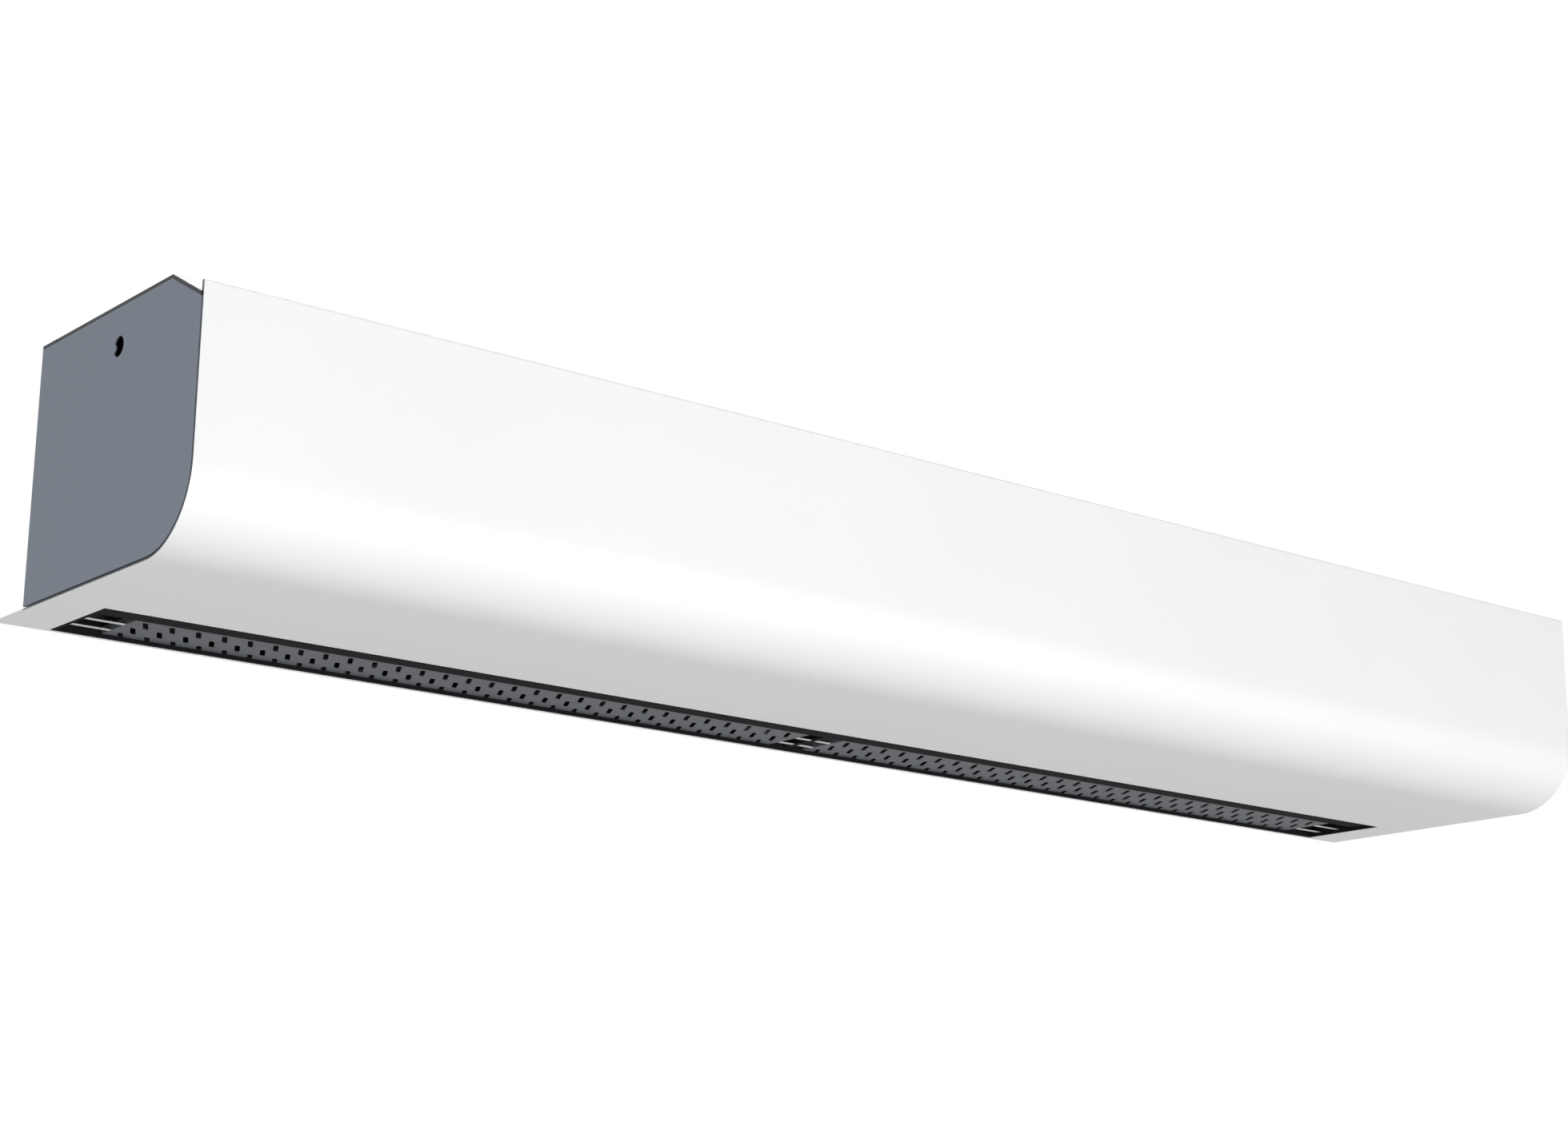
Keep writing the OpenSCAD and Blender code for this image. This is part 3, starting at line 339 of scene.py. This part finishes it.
# ---- Electrical box ----
# A galvanised box with a screwed lid, holding the terminals, the board, the motor's capacitor and
# the heaters' contactor, and the gland that the mains cable comes in through.
LACQUER = grained("board_lacquer", (0.018, 0.12, 0.055), (0.030, 0.17, 0.080),
                  grain=800, depth=0.02 * MM, detail=1.0, roughness=0.32)
SHELL = grained("white_moulding", (0.70, 0.70, 0.68), (0.78, 0.78, 0.76),
                grain=500, depth=0.02 * MM, roughness=0.4)
dress(GALVANISED, SHEET_EDGE, "control_box", "control_box_lid")
dress(CREAM, MOULDED_EDGE, "terminal_block")
dress(BLACK, MOULDED_EDGE, "contactor", "cable_gland")
dress(LACQUER, SHEET_EDGE, "control_board")
dress(SHELL, MOULDED_EDGE, "fan_capacitor")

# ---- Top panel and intake grille ----
# The closed strip over the duct, painted charcoal, and the slotted, chamfered sheet in front of it,
# white on its upward faces and charcoal on all others, both held by plated screws. The dark ends of the
# two sheets show as the line round the end panels; on the chamfered sheet that charcoal end is partly
# painted shade for the shadow in the gap along the chamfer.
TOP_EDGE = 0.4 * MM
INTAKE_WHITE = (0.86, 0.868, 0.872)
DARK_AND_SHADED_UP_TO = 0.45
WHITE_FROM = 0.55
# Painted shade, in part: faces of the chamfered sheet that do not turn upwards are charcoal, and at its ends
# that charcoal stands in for the shadow in the gap along the chamfer.
one_side = Finish("white_top_painted_shade_ends", roughness=0.5, specular=0.3)
one_side.colours(one_side.axis("Z", one_side.facing), CHARCOAL_DARK, INTAKE_WHITE,
                 DARK_AND_SHADED_UP_TO, WHITE_FROM)
one_side.relief(one_side.noise(420), 0.04 * MM)
dress(CHARCOAL, TOP_EDGE, "top_panel")
dress(one_side.material, TOP_EDGE, "intake_grille")
dress(ZINC_PLATE, SCREW_EDGE, "top_screws")

# ---- End panels ----
# Flat steel ends in blue-grey powder coat, with flanges folded inwards, held by plated rivets. The
# opened cable knock-out keeps a small tongue at its edge.
PANEL_EDGE = 0.35 * MM
GREY_COAT = grained("grey_powder_coat", (0.194, 0.226, 0.274), (0.226, 0.261, 0.313),
                    grain=620, depth=0.05 * MM, detail=3.0, gloss=(0.40, 0.54), specular=0.25)
dress(GREY_COAT, PANEL_EDGE, "end_panel_left", "end_panel_right")
dress(ZINC_PLATE, SCREW_EDGE, "end_panel_rivets")

# ---- Hinges and catches ----
# Galvanised brackets with plated pins pressed into them, which the cover turns on, and blued spring
# clips under the rail, which bear on the inside of the cover.
BLUED = metal("blued_spring_steel", (0.10, 0.11, 0.14), (0.20, 0.21, 0.25),
              roughness=0.32, grain=300, depth=0.01 * MM)
dress(GALVANISED, SHEET_EDGE, "hinge_brackets")
dress(ZINC_PLATE, SCREW_EDGE, "hinge_pins")
dress(BLUED, SHEET_EDGE, "cover_catches")

# ---- Front cover ----
# One white powder-coated sheet: bottom plate with the outlet slot, lower bend, front and a folded
# hem along the top edge, with an ear at each rear corner that turns on the hinge pins. Its cut ends,
# in front of the end panels' rear edge, are coloured dark grey: painted shade for the shadow in the gap
# where they meet the end panels.
COVER_T = 1.2 * MM
COVER_EDGE = 0.3 * MM
BEND_R = 63 * MM
BEND_STEPS = 32
HEM_R = 1.5 * MM
HEM_STEPS = 8
HEM_LEAF = 8.5 * MM
SLOT_HALF = 733.5 * MM
SLOT_REAR = -7.5 * MM
SLOT_FRONT = -103 * MM
EAR_X = 741 * MM
EAR_T = 2 * MM
EAR_R = 4.7 * MM
EAR_BORE = 2.55 * MM
EAR_SIDES = 48
ALONG_X = Vector((1, 0, 0))
ALONG_Y = Vector((0, 1, 0))
CLOSE_BY = 0.01 * MM
cover_low, cover_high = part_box("front_cover")
BEND_Y = cover_low.y + BEND_R
BEND_Z = cover_low.z + BEND_R
HEM_Z = cover_high.z - HEM_R
HINGE_Y = -9 * MM
HINGE_Z = cover_low.z + 7 * MM
EAR_FOOT = cover_low.z + COVER_T / 2


def pick_edges(piece, wanted):
    """Selects the edges whose two ends both answer to a test on their place."""
    object_mode()
    for edge in piece.data.edges:
        edge.select = all(wanted(piece.data.vertices[v].co) for v in edge.vertices)
    bpy.ops.object.mode_set(mode="EDIT")


def pick_faces(piece, wanted):
    """Selects the faces whose centre answers to a test."""
    object_mode()
    for face in piece.data.polygons:
        face.select = wanted(face.center)
    bpy.ops.object.mode_set(mode="EDIT")


def score(direction, distance):
    """Marks a line right across the sheet, square to a direction."""
    bpy.ops.mesh.select_all(action="SELECT")
    bpy.ops.mesh.bisect(plane_co=direction * distance, plane_no=direction)


def draw_up(height):
    """Extrudes what is selected upwards, or downwards where the height is less than nothing."""
    bpy.ops.mesh.extrude_region_move(TRANSFORM_OT_translate={"value": (0, 0, height)})


def turn_sheet(steps, degrees, y, z):
    """Bends on what is selected round an axis along X, as a folding machine does."""
    bpy.ops.mesh.spin(steps=steps, angle=math.radians(degrees), center=(0, y, z), axis=(1, 0, 0))


def close_seams():
    """Welds the whole mesh, turns its faces the same way out and leaves edit mode."""
    weld()
    bpy.ops.mesh.normals_make_consistent(inside=False)
    object_mode()


bpy.ops.object.select_all(action="DESELECT")
bpy.ops.mesh.primitive_plane_add(size=1, location=(0, (cover_high.y + BEND_Y) / 2, cover_low.z))
cover = bpy.context.object
cover.name = "front_cover_sheet"
cover.scale = (cover_high.x - cover_low.x, cover_high.y - BEND_Y, 1)
bpy.ops.object.transform_apply(location=True, rotation=True, scale=True)
edit(cover)
for slot_end in (-SLOT_HALF, SLOT_HALF):
    score(ALONG_X, slot_end)
for slot_side in (SLOT_FRONT, SLOT_REAR):
    score(ALONG_Y, slot_side)
bpy.ops.mesh.select_mode(type="FACE")
pick_faces(cover, lambda centre: abs(centre.x) < SLOT_HALF and SLOT_FRONT < centre.y < SLOT_REAR)
bpy.ops.mesh.delete(type="FACE")
bpy.ops.mesh.select_mode(type="EDGE")
pick_edges(cover, lambda corner: abs(corner.y - BEND_Y) < CLOSE_BY)
turn_sheet(BEND_STEPS, 90, BEND_Y, BEND_Z)
draw_up(HEM_Z - BEND_Z)
turn_sheet(HEM_STEPS, 180, cover_low.y + HEM_R, HEM_Z)
draw_up(HEM_R - HEM_LEAF)
close_seams()
apply_modifier(cover, "SOLIDIFY", thickness=COVER_T, offset=-1, use_even_offset=True)


def on_lower_rim(corner):
    """Whether a corner of an ear lies on the lower half of its rim."""
    from_pin = math.hypot(corner.y - HINGE_Y, corner.z - HINGE_Z)
    return corner.z < HINGE_Z + SAME_PLACE and from_pin > EAR_R - CLOSE_BY


def cover_ear(x):
    """A rounded ear with its pin hole, standing on the bottom plate."""
    pin = (x, HINGE_Y, HINGE_Z)
    widen = EAR_R / EAR_BORE
    bpy.ops.object.select_all(action="DESELECT")
    bpy.ops.mesh.primitive_circle_add(vertices=EAR_SIDES, radius=EAR_BORE, location=pin,
                                      rotation=(0, math.pi / 2, 0))
    bpy.ops.object.transform_apply(location=True, rotation=True, scale=True)
    ear = bpy.context.object
    edit(ear)
    bpy.ops.mesh.select_mode(type="EDGE")
    bpy.ops.mesh.select_all(action="SELECT")
    bpy.ops.mesh.extrude_edges_move()
    bpy.ops.transform.resize(value=(1, widen, widen), center_override=pin)
    pick_edges(ear, on_lower_rim)
    bpy.ops.mesh.extrude_edges_move()
    bpy.ops.transform.resize(value=(1, 1, 0), center_override=(x, HINGE_Y, EAR_FOOT))
    close_seams()
    apply_modifier(ear, "SOLIDIFY", thickness=EAR_T, offset=0)
    return ear


ears = [cover_ear(side * (EAR_X + EAR_T / 2)) for side in (-1, 1)]
select_only(cover)
for ear in ears:
    ear.select_set(True)
bpy.ops.object.join()
edit(cover)
close_seams()

# Painted shade: the cover's cut ends in front of the end panels' rear edge take a dark grey that stands in
# for the shadow in the narrow gap between cover and end panel.
GAP_SHADE_COLOUR = (0.09, 0.095, 0.10)
GAP_SHADE_STARTS = cover_high.x - 0.25 * MM
GAP_SHADE_IS_FULL = cover_high.x - 0.15 * MM
PANEL_REAR = -55 * MM
GAP_SHADE_FADE = 1 * MM
coat = Finish("white_coat_and_gap_shade")
peel = coat.noise(420)
patches = coat.noise(3.0)
coat.colours(patches, (0.865, 0.872, 0.876), (0.895, 0.900, 0.903))
outward = maths(coat.tree, "ABSOLUTE", coat.axis("X", coat.place))
shaded_end = coat.between(outward, 0.0, 1.0, GAP_SHADE_STARTS, GAP_SHADE_IS_FULL)
by_panel = coat.between(coat.axis("Y", coat.place), 1.0, 0.0, PANEL_REAR - GAP_SHADE_FADE, PANEL_REAR + GAP_SHADE_FADE)
coat.overlay(maths(coat.tree, "MULTIPLY", shaded_end, by_panel), GAP_SHADE_COLOUR)
coat.gloss(peel, 0.40, 0.49)
coat.relief(peel, 0.04 * MM)
break_edges(cover, COVER_EDGE)
fit(cover, "front_cover", coat.material)

# ---- Floor and surround ----
# A plain pale floor far below, which fades into a white surround. That white is only seen, reflected or
# looked at through glass: as light on the unit, the surround is lower and even.
FLOOR_Z = -5.5
FLOOR_SIZE = 60
FLOOR_GLOW = 0.38
GLOW_NEAR = 2.0
GLOW_FAR = 14.0
AMBIENT = 0.37
WHITE = 1.0


def seen_rays(tree):
    """One for rays from the camera, off gloss and through glass, and nothing for rays that light."""
    rays = tree.nodes.new("ShaderNodeLightPath").outputs
    straight = maths(tree, "MAXIMUM", rays["Is Camera Ray"], rays["Is Glossy Ray"])
    return maths(tree, "MAXIMUM", straight, rays["Is Transmission Ray"])


bpy.ops.object.select_all(action="DESELECT")
bpy.ops.mesh.primitive_plane_add(size=FLOOR_SIZE, location=(0, 0, FLOOR_Z))
floor = bpy.context.object
floor.name = "floor"
pale = Finish("pale_floor", roughness=0.8)
pale.colours(pale.noise(6, 3.0), (0.42, 0.42, 0.42), (0.46, 0.46, 0.46))
far = pale.tree.nodes.new("ShaderNodeVectorMath")
far.operation = "LENGTH"
pale.tree.links.new(pale.place, far.inputs[0])
glow = pale.between(far.outputs["Value"], FLOOR_GLOW, WHITE, GLOW_NEAR, GLOW_FAR)
pale.shader.inputs["Emission Color"].default_value = (1, 1, 1, 1)
pale.drive("Emission Strength", maths(pale.tree, "MULTIPLY", glow, seen_rays(pale.tree)))
floor.data.materials.append(pale.material)

world = bpy.data.worlds.new("studio")
bpy.context.scene.world = world
world.use_nodes = True
sky = world.node_tree
background = sky.nodes["Background"]
background.inputs["Color"].default_value = (1, 1, 1, 1)
level = add_node(sky, "ShaderNodeMapRange", "Result", Value=seen_rays(sky), To_Min=AMBIENT, To_Max=WHITE)
sky.links.new(level, background.inputs["Strength"])

# ---- Lamps ----
# Large soft lights. The strongest of those in front is the low one, so that the lower bend is the
# brightest part, and one high behind the unit lights its back and top.
MIDDLE = (0, -0.2, -0.15)


def soft_light(name, place, aim, size, power):
    """A square area lamp, turned to what it lights and unseen itself."""
    data = bpy.data.lights.new(name, "AREA")
    data.size = size
    data.energy = power
    lamp = bpy.data.objects.new(name, data)
    lamp.location = place
    lamp.rotation_euler = (Vector(aim) - Vector(place)).to_track_quat("-Z", "Y").to_euler()
    lamp.visible_camera = False
    bpy.context.scene.collection.objects.link(lamp)


soft_light("low_front", place=(-0.8, -3.2, -2.0), aim=MIDDLE, size=2.0, power=71)
soft_light("level_front", place=(-0.7, -2.3, 0.15), aim=(-0.4, -0.3, -0.12), size=1.2, power=5.8)
soft_light("right_front", place=(2.4, -3.2, -1.6), aim=MIDDLE, size=2.0, power=40)
soft_light("left_side", place=(-3.6, -0.8, -0.4), aim=(-0.6, -0.15, -0.15), size=1.6, power=27)
soft_light("high_back", place=(1.0, 3.2, 2.8), aim=(0, -0.15, -0.1), size=2.4, power=80)

# ---- Camera ----
# It stands below the unit's left end, in front of it, and looks up along it. Its focal length is
# the photograph's, in pixels, turned into millimetres on the sensor.
CAMERA_PLACE = (-1.6725, -2.0800, -0.7526)
CAMERA_YAW = math.radians(51.1174)
CAMERA_PITCH = math.radians(14.5327)
CAMERA_ROLL = math.radians(0.6564)
SENSOR = 36
FOCAL_PIXELS = 3640.96
PHOTO_WIDTH = 1960
ahead = Vector((math.cos(CAMERA_PITCH) * math.cos(CAMERA_YAW),
                math.cos(CAMERA_PITCH) * math.sin(CAMERA_YAW), math.sin(CAMERA_PITCH)))
right = Vector((math.sin(CAMERA_YAW), -math.cos(CAMERA_YAW), 0))
up = right.cross(ahead)
level_right = math.cos(CAMERA_ROLL) * right + math.sin(CAMERA_ROLL) * up
level_up = math.cos(CAMERA_ROLL) * up - math.sin(CAMERA_ROLL) * right
camera_data = bpy.data.cameras.new("camera")
camera_data.sensor_width = SENSOR
camera_data.lens = SENSOR * FOCAL_PIXELS / PHOTO_WIDTH
camera = bpy.data.objects.new("camera", camera_data)
camera.matrix_world = Matrix.Translation(CAMERA_PLACE) @ Matrix(
    (level_right, level_up, -ahead)).transposed().to_4x4()
bpy.context.scene.collection.objects.link(camera)
bpy.context.scene.camera = camera
bpy.context.scene.view_settings.view_transform = "Standard"
